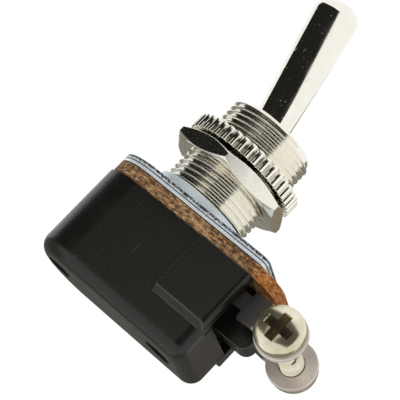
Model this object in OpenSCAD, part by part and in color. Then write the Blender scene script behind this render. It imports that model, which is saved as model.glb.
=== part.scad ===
// Panel toggle switch, single pole, with two screw terminals at one end.
// The origin is on the bushing axis at the top face of the mounting plate.
// +Z runs up the bushing, +X points to the terminal end. All lengths are in millimetres.

/* [Bushing] */
// Major diameter of the bushing thread
thread_d = 12; // [11.6:0.1:12.4]
// Height of the bushing rim above the mounting plate
bushing_h = 13.8; // [12.6:0.1:15]
// Chamfer round the outside of the bushing rim
rim_chamfer = 0.6; // [0.2:0.1:0.9]
// Diameter of the flange that holds the bushing under the mounting plate
bushing_flange_d = 12.9; // [12.7:0.1:13.2]
// Bore that the lever stem swings in
stem_bore_d = 9.4; // [9.3:0.1:9.8]

/* [Lever] */
// Angle between the lever and the bushing axis in either position
lever_tilt = 14; // [11:0.5:14.5]
// Depth of the lever pivot below the bushing rim
pivot_depth = 3.2; // [3:0.1:3.4]
// Diameter of the ball that the lever turns on
ball_d = 7.2; // [7:0.1:7.3]
// Length of the handle from the pivot to its tip
handle_l = 22.3; // [18:0.1:28]
// Handle diameter at the pivot
handle_root_d = 4.64; // [4.2:0.02:4.8]
// Handle diameter at the shoulder below the tip
handle_tip_d = 6; // [5:0.1:7]
// Radius of the rounded edge at the handle tip
handle_edge_r = 2; // [1:0.1:2.2]
// Rise of the crown in the middle of the handle tip
handle_crown = 0.25; // [0.1:0.05:0.5]
// Diameter of the stem below the ball
stem_d = 3.2; // [3:0.1:3.3]
// Diameter of the cross pin that the ball turns on
pivot_pin_d = 1.4; // [1.2:0.1:1.6]
// Length of the cross pin
pivot_pin_l = 9.2; // [8.4:0.1:9.4]

/* [Plunger] */
// Diameter of the spring plunger
plunger_d = 1.8; // [1.6:0.1:1.9]
// How far the centre of the plunger nose stands out of the stem
nose_out = 2.1; // [2:0.1:2.4]
// Length of the plunger behind the centre of its nose
plunger_l = 6.3; // [5.8:0.1:6.6]
// Length of the spring pocket between the plunger and the blind end of its bore
spring_l = 2.8; // [2:0.1:3.2]
// Wire diameter of the plunger spring
spring_wire_d = 0.32; // [0.26:0.02:0.36]
// Number of turns of the plunger spring
spring_turns = 5; // [4:1:6]

/* [Plates] */
// Width of the steel plates and the insulator
plate_w = 13.6; // [13.4:0.1:14]
// Distance from the bushing axis to the rounded end of the plates
plate_left = 11.2; // [10.9:0.1:11.4]
// Distance from the bushing axis to the square end of the steel plates
plate_right = 13.1; // [12.9:0.1:14]
// Corner radius at the square end of the steel plates
plate_corner_r = 1; // [0.4:0.1:2]
// Thickness of the mounting plate
mounting_plate_t = 0.65; // [0.5:0.05:0.9]
// Outside diameter of the collar drawn up round the bushing
collar_d = 12.9; // [12.7:0.1:13.4]
// Height of the collar above the mounting plate
collar_h = 1.1; // [0.6:0.1:1.4]
// Thickness of the frame plate under the mounting plate
frame_plate_t = 0.5; // [0.4:0.05:0.7]
// Thickness of the fibre insulator plate
insulator_t = 1.5; // [1.2:0.1:1.8]
// Distance from the bushing axis to the end of the insulator over the terminals
insulator_right = 15.9; // [15.2:0.1:16.2]
// Corner radius at the terminal end of the insulator
insulator_corner_r = 4; // [2:0.1:6]

/* [Housing] */
// Width of the moulded housing
housing_w = 12.4; // [12.2:0.1:13]
// Distance from the bushing axis to the rounded end of the housing
housing_left = 11.5; // [11.3:0.1:12]
// Distance from the bushing axis to the end wall of the housing
housing_right = 12.8; // [12.4:0.1:13.3]
// Height of the housing below the insulator plate
housing_h = 12.6; // [12.2:0.1:13.4]
// Radius of the edges round the underside and up the end wall
housing_edge_r = 1.8; // [1.2:0.1:2.2]
// Thickness of the side walls
housing_wall = 1.6; // [1.4:0.05:1.7]
// Thickness of the floor
housing_floor = 1.8; // [1.4:0.1:2.2]
// Length of the raised pads over the terminal passages
pad_l = 7.7; // [6.5:0.1:8.5]
// Height of the raised pads
pad_h = 8.3; // [7.8:0.1:9]
// How far the raised pads stand out from the side walls
pad_rise = 0.8; // [0.4:0.1:1]
// Bevel along the lower edge of the raised pads
pad_bevel = 0.7; // [0.3:0.1:0.8]
// Thickness of the barrier between the terminals
barrier_t = 3; // [2.4:0.1:3.6]
// How far the barrier stands out from the end wall
barrier_l = 3.7; // [3:0.1:4.2]
// Height of the barrier
barrier_h = 6.4; // [6:0.1:6.9]
// Corner radius of the barrier
barrier_r = 1.3; // [0.4:0.1:1.5]

/* [Rivets] */
// Distance between the two case rivets
rivet_spacing = 16.6; // [16.2:0.1:17]
// Diameter of the rivet recesses in the underside
rivet_recess_d = 3.8; // [3.4:0.1:4]
// Depth of the rivet recesses
rivet_recess_depth = 6; // [4:0.1:7]
// Shank diameter of the case rivets
rivet_d = 2.4; // [2:0.1:2.6]
// Head diameter of the case rivets
rivet_head_d = 3.4; // [3:0.1:3.4]
// Head height of the case rivets
rivet_head_h = 0.8; // [0.5:0.1:1]

/* [Nuts] */
// Width across the flats of the hexagon nut
hex_af = 15; // [14:0.1:16]
// Thickness of the hexagon nut
hex_t = 2.1; // [1.8:0.1:2.4]
// Height of the hexagon nut above the mounting plate
hex_z = 4.95; // [3:0.05:6]
// Diameter over the knurl of the round nut
knurl_d = 15.6; // [14.6:0.1:17]
// Thickness of the knurled nut
knurl_t = 2.2; // [1.8:0.1:2.4]
// Space between the two nuts
nut_space = 0.25; // [0.1:0.05:1]
// Number of ribs round the knurled nut
knurl_ribs = 40; // [36:1:42]
// Width of one knurl rib
knurl_rib_w = 0.96; // [0.8:0.02:1]

/* [Terminals] */
// Distance from the bushing axis to the terminal screws
screw_x = 19.5; // [19:0.1:20.5]
// Depth of the terminal screws below the mounting plate
screw_drop = 5.4; // [5.2:0.1:5.8]
// Distance between the outer faces of the two terminals
terminal_span = 11.3; // [11:0.1:11.8]
// Thickness of the terminal strip
terminal_t = 0.8; // [0.6:0.05:0.9]
// Diameter of the round screw pad
terminal_pad_d = 6.2; // [5.8:0.1:6.6]
// Width of the terminal neck
terminal_neck_w = 3.8; // [3:0.1:4]
// Width of the terminal strip inside the housing
terminal_tail_w = 2; // [1.6:0.1:2.4]
// Distance between the inner faces of the two strips inside the housing
terminal_tail_gap = 7; // [6.8:0.1:7.2]
// Diameter of the terminal screws
screw_d = 3; // [2.6:0.1:3.2]
// Length of the terminal screws under the head
screw_l = 4.6; // [4:0.1:5]
// Head diameter of the terminal screws
screw_head_d = 5.9; // [5.2:0.1:6]
// Head height of the terminal screws
screw_head_h = 2.4; // [1.8:0.05:2.6]
// Length of each slot in the cross recess
recess_l = 3.3; // [2.6:0.1:3.6]
// Width of the slots in the cross recess
recess_w = 0.85; // [0.6:0.05:1]
// Depth of the cross recess
recess_depth = 1.2; // [0.8:0.1:1.4]

/* [Rocker] */
// Angle of the contact rocker in either position
rocker_tilt = 8; // [6:0.5:8]
// Depth of the rocker pin below the mounting plate
rocker_drop = 7; // [6.6:0.1:7.6]
// Distance from the rocker pin up to the centre of the plunger nose
rocker_arm = 4; // [3.9:0.05:4.2]
// Thickness of the rocker strip
rocker_t = 0.7; // [0.5:0.05:0.8]
// Width of the rocker
rocker_w = 3.4; // [3:0.1:3.6]
// Length of the rocker
rocker_l = 7.8; // [7:0.1:8]
// Diameter of the rocker pin
rocker_pin_d = 1; // [0.8:0.1:1.2]
// Diameter of the moving contact button
moving_contact_d = 1.4; // [1.2:0.1:1.6]
// Height of the moving contact button below the rocker
moving_contact_h = 0.45; // [0.35:0.05:0.5]
// Distance from the rocker pin to the moving contact button
contact_offset = 3.2; // [3:0.1:3.3]
// Diameter of the fixed contact button
fixed_contact_d = 1.8; // [1.4:0.1:2]
// Height of the fixed contact button above its strip
fixed_contact_h = 0.5; // [0.4:0.05:0.7]
// Thickness of the rocker support bracket
support_t = 0.6; // [0.5:0.05:0.7]

/* [Clearances] */
// Radial running clearance of the pins, the ball and the plunger
running = 0.05; // [0.02:0.01:0.08]
// Radial clearance of fixed pieces in their holes
seat = 0.03; // [0.01:0.01:0.05]
// Space between the plunger nose and the rocker track
track_space = 0.15; // [0.1:0.01:0.25]
// Space between the closed contacts
contact_space = 0.05; // [0.03:0.01:0.1]
// Clearance round moving pieces that pass through fixed ones
swing_space = 0.3; // [0.2:0.05:0.4]

/* [Hidden] */
$fn = 64;

// Levels from the mounting plate down
frame_plate_top = -mounting_plate_t;
insulator_top = frame_plate_top - frame_plate_t;
housing_top = insulator_top - insulator_t;
housing_bottom = housing_top - housing_h;
pivot_z = bushing_h - pivot_depth;
rocker_z = -rocker_drop;
cut = 0.5; // how far a cutting shape runs past the face that it cuts

// Lever
ball_r = ball_d / 2;
lip_z = 1.5; // height of the retaining lip above the pivot
lip_r = sqrt(pow(ball_r, 2) - pow(lip_z, 2)) + running;
mouth_r = lip_r + (pivot_depth - lip_z) * tan(30);
shoulder_l = handle_l - handle_edge_r - handle_crown;
plunger_reach = pivot_z - rocker_z - rocker_arm;
stem_l = plunger_reach - nose_out;
plunger_back = plunger_reach - plunger_l;
plunger_bore_top = plunger_back - spring_l;

// Contact rocker: the plunger nose follows an arc in the rocker's own frame
nose_r = plunger_d / 2 - running;
nose_mid = rocker_arm;
nose_end = [plunger_reach * sin(lever_tilt), rocker_arm + plunger_reach * (1 - cos(lever_tilt))];
nose_end_x = nose_end.x * cos(rocker_tilt) - nose_end.y * sin(rocker_tilt);
nose_end_z = nose_end.x * sin(rocker_tilt) + nose_end.y * cos(rocker_tilt);
nose_rise = nose_end_z - nose_mid;
path_r = (pow(nose_end_x, 2) + pow(nose_rise, 2)) / (2 * nose_rise);
track_r = path_r + nose_r + track_space;
track_z = nose_mid + path_r;
button_top = track_z - sqrt(pow(track_r + rocker_t, 2) - pow(contact_offset, 2));
button_face = button_top - moving_contact_h;
ear_r = rocker_pin_d / 2 + 0.6;
ear_t = 0.6;
ear_top = button_top - 0.2;

support_in = rocker_w / 2 + swing_space;
support_out = support_in + support_t;
support_foot = 2.5; // half length of the bracket's foot
support_ear = 1.4; // half length of its two cheeks
support_top = rocker_z + rocker_pin_d / 2 + 0.5;

// Nuts
hex_turn = 38; // angle of one corner of the hexagon nut from +X
hex_corner_r = hex_af / 2 / cos(30);

// Terminals
tail_in = terminal_tail_gap / 2;
tail_out = tail_in + terminal_t;
pad_out = terminal_span / 2;
pad_in = pad_out - terminal_t;
joggle_start = housing_right + 0.8;
joggle_l = 2.6;
joggle_end = joggle_start + joggle_l;
channel_space = 0.05;
fixed_x = contact_offset * cos(rocker_tilt) + button_face * sin(rocker_tilt);
fixed_face = rocker_z - contact_offset * sin(rocker_tilt) + button_face * cos(rocker_tilt);
fixed_dome_r = 1.4;
fixed_arm_t = 0.6;
fixed_arm_top = fixed_face - contact_space - fixed_contact_h;
tail_bottom = fixed_arm_top - fixed_arm_t;
tail_top = tail_bottom + terminal_tail_w;
neck_top = terminal_neck_w - 1.7 - screw_drop;
neck_bottom = neck_top - terminal_neck_w;

// Housing
housing_r = housing_w / 2;
pad_out_y = housing_r + pad_rise;
cavity_y = housing_r - housing_wall;
cavity_x = 5.5;
pillar_gap = 0.6;
pocket_x = 11.2;
pocket_y = pad_out_y - housing_wall - 0.4;
pocket_floor = housing_top - barrier_h - 0.6;
rivet_x = rivet_spacing / 2;
rivet_seat = housing_bottom + rivet_recess_depth;
rivet_sink_r = rivet_d / 2 + 0.4;
rivet_sink_z = 0.1 - mounting_plate_t;

// A bar along X with its section given by a low and a high corner
module block(low, high) {
    translate(low)
        cube(high - low);
}

// A round bar along Y, centred on y = 0
module cross_bar(d, l, x = 0, z = 0) {
    translate([x, l / 2, z])
        rotate([90, 0, 0])
            cylinder(d = d, h = l);
}

// Flat plate with a fully rounded left end and two rounded corners on the right
module plate_blank(left, right, corner_r, z, t) {
    r = plate_w / 2;
    translate([r - left, 0, z])
        cylinder(r = r, h = t);
    block([r - left, -r, z], [right - corner_r, r, z + t]);
    block([right - corner_r - cut, corner_r - r, z], [right, r - corner_r, z + t]);
    for (side = [-1, 1])
        translate([right - corner_r, side * (r - corner_r), z])
            cylinder(r = corner_r, h = t);
}

// Holes for the two rivets
module rivet_holes(z, t) {
    for (side = [-1, 1])
        translate([side * rivet_x, 0, z - cut])
            cylinder(r = rivet_d / 2 + seat, h = t + 2 * cut);
}

// Solid block of the moulding: round at the left, soft edges below and up the end wall
module moulded_block() {
    r = housing_r;
    e = housing_edge_r;
    x0 = r - housing_left;
    x1 = housing_right - e;
    z0 = housing_bottom + e;
    translate([x0, 0, 0])
        rotate_extrude() {
            translate([0, housing_bottom])
                square([r - e, housing_h]);
            translate([0, z0])
                square([r, housing_h - e]);
            translate([r - e, z0])
                circle(e);
        }
    block([x0, -r, z0], [x1, r, housing_top]);
    block([x0, e - r, housing_bottom], [x1, r - e, housing_top]);
    block([x1, e - r, z0], [housing_right, r - e, housing_top]);
    cross_bar(2 * e, 2 * (r - e), x1, z0);
    for (side = [-1, 1]) {
        translate([x0, side * (r - e), z0])
            rotate([0, 90, 0])
                cylinder(r = e, h = x1 - x0);
        translate([x1, side * (r - e), z0]) {
            sphere(e);
            cylinder(r = e, h = housing_top - z0);
        }
    }
}

// Raised pad on one side wall, bevelled along its lower edge
module side_pad() {
    x0 = housing_right - pad_l;
    edge = 0.8;
    z0 = housing_top - pad_h;
    intersection() {
        translate([x0, 0, 0])
            rotate([90, 0, 90])
                linear_extrude(pad_l)
                    polygon([
                        [cavity_y, housing_top], [pad_out_y, housing_top],
                        [pad_out_y, z0 + pad_bevel], [pad_out_y - pad_bevel, z0], [cavity_y, z0]
                    ]);
        union() {
            block([x0, 0, z0], [housing_right - edge, pad_out_y, housing_top]);
            block([x0, 0, z0], [housing_right, pad_out_y - edge, housing_top]);
            translate([housing_right - edge, pad_out_y - edge, z0])
                cylinder(r = edge, h = pad_h);
        }
    }
}

// Barrier that stands out between the terminals, with rounded lower and outer corners
module barrier() {
    x1 = housing_right + barrier_l;
    z0 = housing_top - barrier_h;
    block([pocket_x - cut, -barrier_t / 2, z0], [x1 - barrier_r, barrier_t / 2, housing_top]);
    block([x1 - barrier_r - cut, -barrier_t / 2, z0 + barrier_r], [x1, barrier_t / 2, housing_top]);
    cross_bar(2 * barrier_r, barrier_t, x1 - barrier_r, z0 + barrier_r);
}

module housing() {
    floor_z = housing_bottom + housing_floor;
    color("#1c1c1a") {
        difference() {
            union() {
                moulded_block();
                side_pad();
                mirror([0, 1, 0])
                    side_pad();
            }
            block([-cavity_x, -cavity_y, floor_z], [cavity_x, cavity_y, housing_top + cut]);
            block([pocket_x, -pocket_y, pocket_floor], [housing_right + cut, pocket_y, housing_top + cut]);
            for (side = [-1, 1]) {
                mirror([0, side < 0 ? 1 : 0, 0])
                    block(
                        [cavity_x - cut, tail_in - channel_space, tail_bottom - channel_space],
                        [pocket_x + cut, tail_out + channel_space, housing_top + cut]
                    );
                translate([side * rivet_x, 0, housing_bottom - cut])
                    cylinder(d = rivet_recess_d, h = rivet_recess_depth + cut);
                translate([side * rivet_x, 0, rivet_seat - cut])
                    cylinder(r = rivet_d / 2 + seat, h = housing_h);
            }
        }
        barrier();
    }
}

module insulator_plate() {
    slot_x = rocker_l / 2 + 2 * swing_space;
    slot_y = rocker_w / 2 + swing_space;
    color("#a07a48")
        difference() {
            plate_blank(plate_left, insulator_right, insulator_corner_r, housing_top, insulator_t);
            block([-slot_x, -slot_y, housing_top - cut], [slot_x, slot_y, insulator_top + cut]);
            rivet_holes(housing_top, insulator_t);
        }
}

module frame_plate() {
    color("#c9cdd0")
        difference() {
            plate_blank(plate_left, plate_right, plate_corner_r, insulator_top, frame_plate_t);
            translate([0, 0, insulator_top - cut])
                cylinder(r = bushing_flange_d / 2 + seat, h = frame_plate_t + 2 * cut);
            rivet_holes(insulator_top, frame_plate_t);
        }
}

module mounting_plate() {
    color("#d5dadd")
        difference() {
            union() {
                plate_blank(plate_left, plate_right, plate_corner_r, frame_plate_top, mounting_plate_t);
                cylinder(d = collar_d, h = collar_h);
            }
            translate([0, 0, frame_plate_top - cut])
                cylinder(r = thread_d / 2 + seat, h = mounting_plate_t + collar_h + 2 * cut);
            rivet_holes(frame_plate_top, mounting_plate_t);
            for (side = [-1, 1])
                translate([side * rivet_x, 0, 0])
                    rotate_extrude()
                        polygon([
                            [0, rivet_sink_z], [rivet_d / 2 + seat, rivet_sink_z],
                            [rivet_sink_r + seat, 0], [rivet_sink_r + seat, cut], [0, cut]
                        ]);
        }
}

// Slots in the bushing bore that carry the ends of the pivot pin
module pin_slots() {
    w = pivot_pin_d + 2 * running;
    l = pivot_pin_l + 2 * running;
    block([-w / 2, -l / 2, insulator_top - cut], [w / 2, l / 2, pivot_z]);
    cross_bar(w, l, 0, pivot_z);
}

module bushing() {
    r = thread_d / 2;
    bore_r = ball_r + running;
    stem_r = stem_bore_d / 2;
    step_low = 3;
    step_high = pivot_z - ball_r;
    color("#e2dfd2")
        difference() {
            rotate_extrude()
                polygon([
                    [0, insulator_top], [bushing_flange_d / 2, insulator_top],
                    [bushing_flange_d / 2, frame_plate_top], [r, frame_plate_top],
                    [r, bushing_h - rim_chamfer], [r - rim_chamfer, bushing_h], [0, bushing_h]
                ]);
            rotate_extrude()
                polygon([
                    [0, insulator_top - cut], [stem_r, insulator_top - cut], [stem_r, step_low],
                    [bore_r, step_high], [bore_r, pivot_z + lip_z], [lip_r, pivot_z + lip_z],
                    [mouth_r, bushing_h], [mouth_r, bushing_h + cut], [0, bushing_h + cut]
                ]);
            pin_slots();
        }
}

// Places a piece that is drawn upright about the pivot at the lever's rest angle
module on_lever() {
    translate([0, 0, pivot_z])
        rotate([0, -lever_tilt, 0])
            children();
}

// Half section of the handle, from the pivot to the tip
function handle_outline() =
    let (r = handle_tip_d / 2, e = handle_edge_r, steps = 10)
    concat(
        [[0, 0], [handle_root_d / 2, 0]],
        [for (i = [0 : steps]) let (a = 90 * i / steps) [r - e + e * cos(a), shoulder_l + e * sin(a)]],
        [[(r - e) / 2, handle_l - handle_crown / 4], [0, handle_l]]
    );

module lever() {
    color("#dedbd0")
        on_lever()
            difference() {
                union() {
                    rotate_extrude()
                        polygon(handle_outline());
                    sphere(ball_r);
                    translate([0, 0, -stem_l])
                        cylinder(d = stem_d, h = stem_l);
                }
                translate([0, 0, -stem_l - cut])
                    cylinder(r = plunger_d / 2 + running, h = stem_l - plunger_bore_top + cut);
                cross_bar(pivot_pin_d + 2 * seat, ball_d + 2 * cut);
            }
}

module pivot_pin() {
    color("#9a9a96")
        on_lever()
            cross_bar(pivot_pin_d, pivot_pin_l);
}

module plunger() {
    color("#c8a252")
        on_lever() {
            translate([0, 0, -plunger_reach])
                cylinder(d = plunger_d, h = plunger_l);
            translate([0, 0, -plunger_reach])
                sphere(d = plunger_d);
        }
}

// Points of one ring of the spring wire, at a given angle along the coil
function wire_ring(a, coil_r, wire_r, pitch, sides) =
    [for (k = [0 : sides - 1])
        let (b = 360 * k / sides, r = coil_r + wire_r * cos(b))
        [r * cos(a), r * sin(a), pitch * a / 360 + wire_r * sin(b)]];

module plunger_spring() {
    wire_r = spring_wire_d / 2;
    coil_r = plunger_d / 2 - wire_r;
    rings = 14 * spring_turns;
    sides = 8;
    pitch = (spring_l - spring_wire_d - 2 * running) / spring_turns;
    points = [for (i = [0 : rings]) each wire_ring(360 * spring_turns * i / rings, coil_r, wire_r, pitch, sides)];
    walls = [for (i = [0 : rings - 1], k = [0 : sides - 1])
        let (a = i * sides, b = (k + 1) % sides)
        [a + k, a + sides + k, a + sides + b, a + b]];
    ends = [[for (k = [0 : sides - 1]) k], [for (k = [sides - 1 : -1 : 0]) rings * sides + k]];
    color("#b8b8b4")
        on_lever()
            translate([0, 0, running + wire_r - plunger_back])
                polyhedron(points, concat(walls, ends));
}

// Body of a round nut blank with both faces chamfered to the given radius
module chamfered_disc(r, face_r, z, t) {
    slope = (r - face_r) * tan(30);
    translate([0, 0, z])
        rotate_extrude()
            polygon([[0, 0], [face_r, 0], [r, slope], [r, t - slope], [face_r, t], [0, t]]);
}

// Threaded hole of a nut, drawn at the thread's major diameter
module nut_hole(z, t) {
    translate([0, 0, z - cut])
        cylinder(r = thread_d / 2 + running, h = t + 2 * cut);
}

module hex_nut() {
    color("#dbd8cc")
        difference() {
            intersection() {
                translate([0, 0, hex_z])
                    rotate(hex_turn)
                        cylinder(r = hex_corner_r, h = hex_t, $fn = 6);
                chamfered_disc(hex_corner_r + 0.1, hex_af / 2 - 0.1, hex_z, hex_t);
            }
            nut_hole(hex_z, hex_t);
        }
}

module knurled_nut() {
    z = hex_z + hex_t + nut_space;
    rib_r = knurl_rib_w / 2;
    core_r = knurl_d / 2 - rib_r;
    rib_inset = 0.15;
    color("#dbd8cc")
        difference() {
            union() {
                chamfered_disc(core_r, core_r - 0.4, z, knurl_t);
                for (i = [0 : knurl_ribs - 1])
                    rotate(360 * i / knurl_ribs)
                        translate([core_r, 0, z + rib_inset])
                            cylinder(r = rib_r, h = knurl_t - 2 * rib_inset, $fn = 16);
            }
            nut_hole(z, knurl_t);
        }
}

// Places a piece that is drawn about the rocker pin at the rocker's rest angle
module on_rocker() {
    translate([0, 0, rocker_z])
        rotate([0, rocker_tilt, 0])
            children();
}

module rocker() {
    y = rocker_w / 2;
    color("#c9a24e")
        on_rocker()
            difference() {
                union() {
                    intersection() {
                        difference() {
                            cross_bar(2 * (track_r + rocker_t), rocker_w, 0, track_z);
                            cross_bar(2 * track_r, rocker_w + 2 * cut, 0, track_z);
                        }
                        block([-rocker_l / 2, -y, 0], [rocker_l / 2, y, track_z]);
                    }
                    for (side = [-1, 1])
                        mirror([0, side < 0 ? 1 : 0, 0]) {
                            block([-ear_r, y - ear_t, 0], [ear_r, y, ear_top]);
                            translate([0, y, 0])
                                rotate([90, 0, 0])
                                    cylinder(r = ear_r, h = ear_t);
                        }
                }
                cross_bar(rocker_pin_d + 2 * running, rocker_w + 2 * cut);
            }
}

module moving_contact() {
    color("#d8d8d4")
        on_rocker()
            difference() {
                translate([contact_offset, 0, button_face])
                    cylinder(d = moving_contact_d, h = button_top - button_face + 0.3);
                cross_bar(2 * (track_r + rocker_t), rocker_w + 2 * cut, 0, track_z);
            }
}

module rocker_pin() {
    color("#9a9a96")
        cross_bar(rocker_pin_d, 2 * support_out, 0, rocker_z);
}

module rocker_support() {
    floor_z = housing_bottom + housing_floor;
    x = support_ear;
    color("#c9a24e")
        difference() {
            union() {
                block([-support_foot, -support_out, floor_z], [support_foot, support_out, floor_z + support_t]);
                block([-x, -support_out, floor_z], [x, -support_in, tail_top]);
                block([-x, support_in, floor_z], [x, support_out, support_top]);
            }
            cross_bar(rocker_pin_d + 2 * seat, 2 * support_out + 2 * cut, 0, rocker_z);
        }
}

// Plan of one terminal strip: straight inside the housing, joggled outwards to the screw pad
module terminal_plan(x_end, z0, z1) {
    translate([0, 0, z0])
        linear_extrude(z1 - z0)
            polygon([
                [x_end, -tail_in], [joggle_start, -tail_in], [joggle_end, -pad_in],
                [screw_x + terminal_pad_d, -pad_in], [screw_x + terminal_pad_d, -pad_out],
                [joggle_end - 0.2, -pad_out], [joggle_start - 0.2, -tail_out], [x_end, -tail_out]
            ]);
}

// Elevation of one terminal strip: tail, neck with a rounded corner, and round pad
module terminal_side(x_end) {
    corner = 0.5;
    neck_x = joggle_start + 0.2;
    far = 20;
    block([x_end, -far, tail_bottom], [neck_x + corner, 0, tail_top]);
    block([neck_x + corner, -far, neck_bottom], [screw_x, 0, neck_top]);
    block([neck_x, -far, neck_bottom + corner], [neck_x + 2 * corner, 0, neck_top]);
    translate([neck_x + corner, 0, neck_bottom + corner])
        rotate([90, 0, 0])
            cylinder(r = corner, h = far);
    translate([screw_x, 0, -screw_drop])
        rotate([90, 0, 0])
            cylinder(d = terminal_pad_d, h = far);
}

module terminal_strip(x_end) {
    difference() {
        intersection() {
            terminal_plan(x_end, -screw_drop - terminal_pad_d, 0);
            terminal_side(x_end);
        }
        translate([screw_x, 0, -screw_drop])
            rotate([90, 0, 0])
                cylinder(r = screw_d / 2 + running, h = pad_out + cut);
    }
}

module terminal_front() {
    x = support_ear;
    color("#c3c1b6") {
        terminal_strip(-x);
        block([-x, -tail_in - 0.1, tail_bottom], [x, -support_out, tail_top]);
    }
}

module terminal_rear() {
    half = fixed_contact_d / 2 + 0.5;
    color("#c3c1b6") {
        mirror([0, 1, 0])
            terminal_strip(fixed_x - half);
        block(
            [fixed_x - half, -half, tail_bottom],
            [fixed_x + half, tail_in + 0.1, fixed_arm_top]
        );
    }
}

module fixed_contact() {
    dome_z = fixed_face - contact_space - fixed_dome_r / cos(rocker_tilt);
    color("#d8d8d4")
        intersection() {
            translate([fixed_x, 0, dome_z])
                sphere(fixed_dome_r);
            translate([fixed_x, 0, fixed_arm_top])
                cylinder(d = fixed_contact_d, h = 2 * fixed_contact_h);
        }
}

// Pan head screw along -Y, with its head outwards and a cross recess
module terminal_screw() {
    head_r = screw_head_d / 2;
    edge = 0.7;
    translate([screw_x, -pad_out, -screw_drop])
        rotate([90, 0, 0]) {
            translate([0, 0, -screw_l])
                cylinder(d = screw_d, h = screw_l);
            difference() {
                rotate_extrude()
                    union() {
                        square([head_r, screw_head_h - edge]);
                        square([head_r - edge, screw_head_h]);
                        translate([head_r - edge, screw_head_h - edge])
                            circle(edge);
                    }
                for (turn = [0, 90])
                    rotate(turn)
                        translate([-recess_l / 2, -recess_w / 2, screw_head_h - recess_depth])
                            cube([recess_l, recess_w, recess_depth + cut]);
            }
        }
}

module terminal_screw_front() {
    color("#cfc9ae")
        terminal_screw();
}

module terminal_screw_rear() {
    color("#cfc9ae")
        mirror([0, 1, 0])
            terminal_screw();
}

// Rivet from the recess in the underside up to the countersink in the mounting plate
module case_rivet() {
    color("#a8a8a2") {
        rotate_extrude()
            polygon([
                [0, rivet_seat - rivet_head_h], [rivet_head_d / 2, rivet_seat - rivet_head_h],
                [rivet_head_d / 2, rivet_seat], [rivet_d / 2, rivet_seat],
                [rivet_d / 2, rivet_sink_z], [rivet_sink_r, 0], [0, 0]
            ]);
    }
}

module case_rivet_left() {
    translate([-rivet_x, 0, 0])
        case_rivet();
}

module case_rivet_right() {
    translate([rivet_x, 0, 0])
        case_rivet();
}

housing();
insulator_plate();
frame_plate();
mounting_plate();
bushing();
lever();
pivot_pin();
plunger();
plunger_spring();
hex_nut();
knurled_nut();
rocker();
moving_contact();
rocker_pin();
rocker_support();
terminal_front();
terminal_rear();
fixed_contact();
terminal_screw_front();
terminal_screw_rear();
case_rivet_left();
case_rivet_right();
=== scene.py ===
import math

import bmesh
import bpy
from bpy.props import FloatProperty, FloatVectorProperty, IntProperty, PointerProperty
from mathutils import Matrix, Vector


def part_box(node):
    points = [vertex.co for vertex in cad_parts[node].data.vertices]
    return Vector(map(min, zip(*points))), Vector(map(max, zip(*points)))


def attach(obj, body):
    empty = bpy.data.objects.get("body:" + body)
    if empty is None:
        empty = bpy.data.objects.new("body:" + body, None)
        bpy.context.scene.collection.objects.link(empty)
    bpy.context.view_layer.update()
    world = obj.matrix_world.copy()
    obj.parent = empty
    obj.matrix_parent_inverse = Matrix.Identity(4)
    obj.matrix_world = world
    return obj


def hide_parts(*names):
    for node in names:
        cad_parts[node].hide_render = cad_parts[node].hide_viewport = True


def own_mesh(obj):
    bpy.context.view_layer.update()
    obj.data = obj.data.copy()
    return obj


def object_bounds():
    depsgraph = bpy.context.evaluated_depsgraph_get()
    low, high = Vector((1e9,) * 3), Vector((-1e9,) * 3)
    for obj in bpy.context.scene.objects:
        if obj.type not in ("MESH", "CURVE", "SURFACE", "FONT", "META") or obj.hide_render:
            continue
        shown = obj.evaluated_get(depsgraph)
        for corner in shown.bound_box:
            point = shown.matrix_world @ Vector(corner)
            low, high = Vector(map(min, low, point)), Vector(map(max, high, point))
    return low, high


bl_info = {
    "name": "Panel toggle switch",
    "version": (1, 0, 0),
    "blender": (4, 5, 0),
    "location": "3D View > Sidebar > Toggle switch",
    "description": "Dresses a packed panel toggle switch with threads, rounded edges, finishes and a studio",
    "category": "Object",
}

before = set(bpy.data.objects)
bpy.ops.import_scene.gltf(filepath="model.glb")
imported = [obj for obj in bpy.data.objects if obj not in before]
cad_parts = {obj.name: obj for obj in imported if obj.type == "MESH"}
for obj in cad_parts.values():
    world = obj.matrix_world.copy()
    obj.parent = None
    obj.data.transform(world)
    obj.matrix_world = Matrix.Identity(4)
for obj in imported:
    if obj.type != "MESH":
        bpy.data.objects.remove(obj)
CAD_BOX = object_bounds()
MM = 0.001
WELD = 0.0005 * MM  # vertices closer than this are one
THREAD_DEPTH = 0.61  # depth of a metric thread, as a share of its pitch


# --- colour and material nodes -------------------------------------------------------------

def linear(hex_colour):
    """Linear RGBA of an sRGB hex colour."""
    channels = [int(hex_colour[i:i + 2], 16) / 255 for i in (1, 3, 5)]
    return tuple(c / 12.92 if c <= 0.04045 else ((c + 0.055) / 1.055) ** 2.4 for c in channels) + (1.0,)


def cells(size_mm):
    """Noise scale on Object coordinates that makes its cells about this wide, in mm."""
    return 1 / (size_mm * MM)


def add(tree, kind, inputs=None, stops=(), output=None, **settings):
    """Add a node with its settings, inputs and colour stops; gives back its named or first output."""
    node = tree.nodes.new(kind)
    for key, value in settings.items():
        setattr(node, key, value)
    for key, value in (inputs or {}).items():
        named = [socket for socket in node.inputs if socket.enabled and socket.name == key]
        socket = named[0] if named else node.inputs[key]
        if isinstance(value, bpy.types.NodeSocket):
            tree.links.new(value, socket)
        else:
            socket.default_value = value
    for _ in stops[2:]:
        node.color_ramp.elements.new(0.5)
    for element, (position, colour) in zip(node.color_ramp.elements if stops else (), stops):
        element.position = position
        element.color = colour
    if output:
        return node.outputs[output]
    return next((socket for socket in node.outputs if socket.enabled), None)


def new_tree(name):
    """An empty material, with its node tree."""
    material = bpy.data.materials.new(name)
    material.use_nodes = True
    material.node_tree.nodes.clear()
    return material, material.node_tree


# --- finishes --------------------------------------------------------------------------------

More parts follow.
